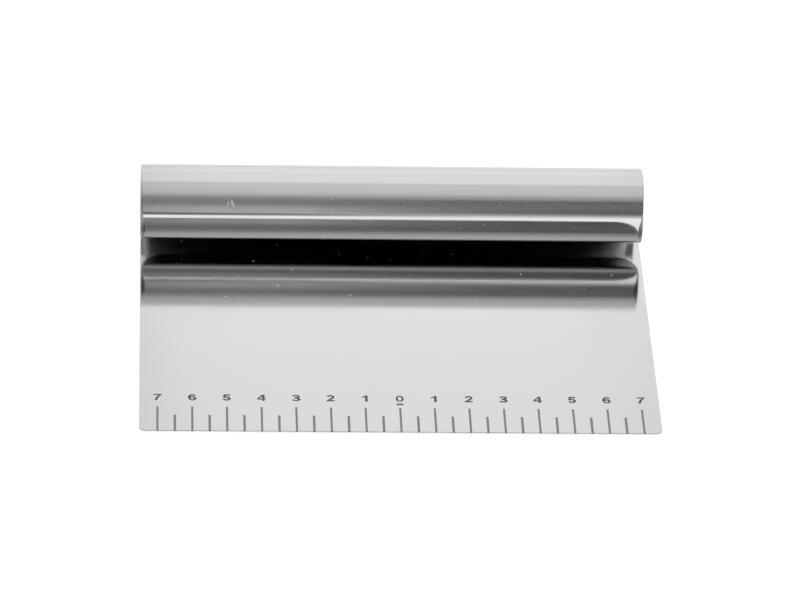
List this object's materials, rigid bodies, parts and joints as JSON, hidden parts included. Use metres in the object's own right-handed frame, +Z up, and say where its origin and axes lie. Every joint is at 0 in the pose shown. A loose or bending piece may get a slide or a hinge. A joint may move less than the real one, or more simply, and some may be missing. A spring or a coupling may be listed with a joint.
{
  "type": "dough scraper",
  "caption": "Stainless steel dough scraper: a flat blade with a straight working edge and an etched centimetre ruler, its far end rolled forward into a hollow open-ended handle with a curled-in lip.",
  "frame": {"origin": "under the middle of the whole scraper, on the surface that its blade lies on", "axes": "+X along the width, +Y from the working edge to the rolled handle, +Z up out of the blade's face, to the side on which the handle is rolled"},
  "size_m": [0.1506, 0.11, 0.0241],
  "materials": {
    "polished_steel": "bright polished stainless sheet, nearly mirror smooth",
    "etched_marks": "matt dark grey laser etching"
  },
  "bodies": {
    "root": {"blade": "polished_steel", "handle_roll": "polished_steel"}
  },
  "joints": []
}
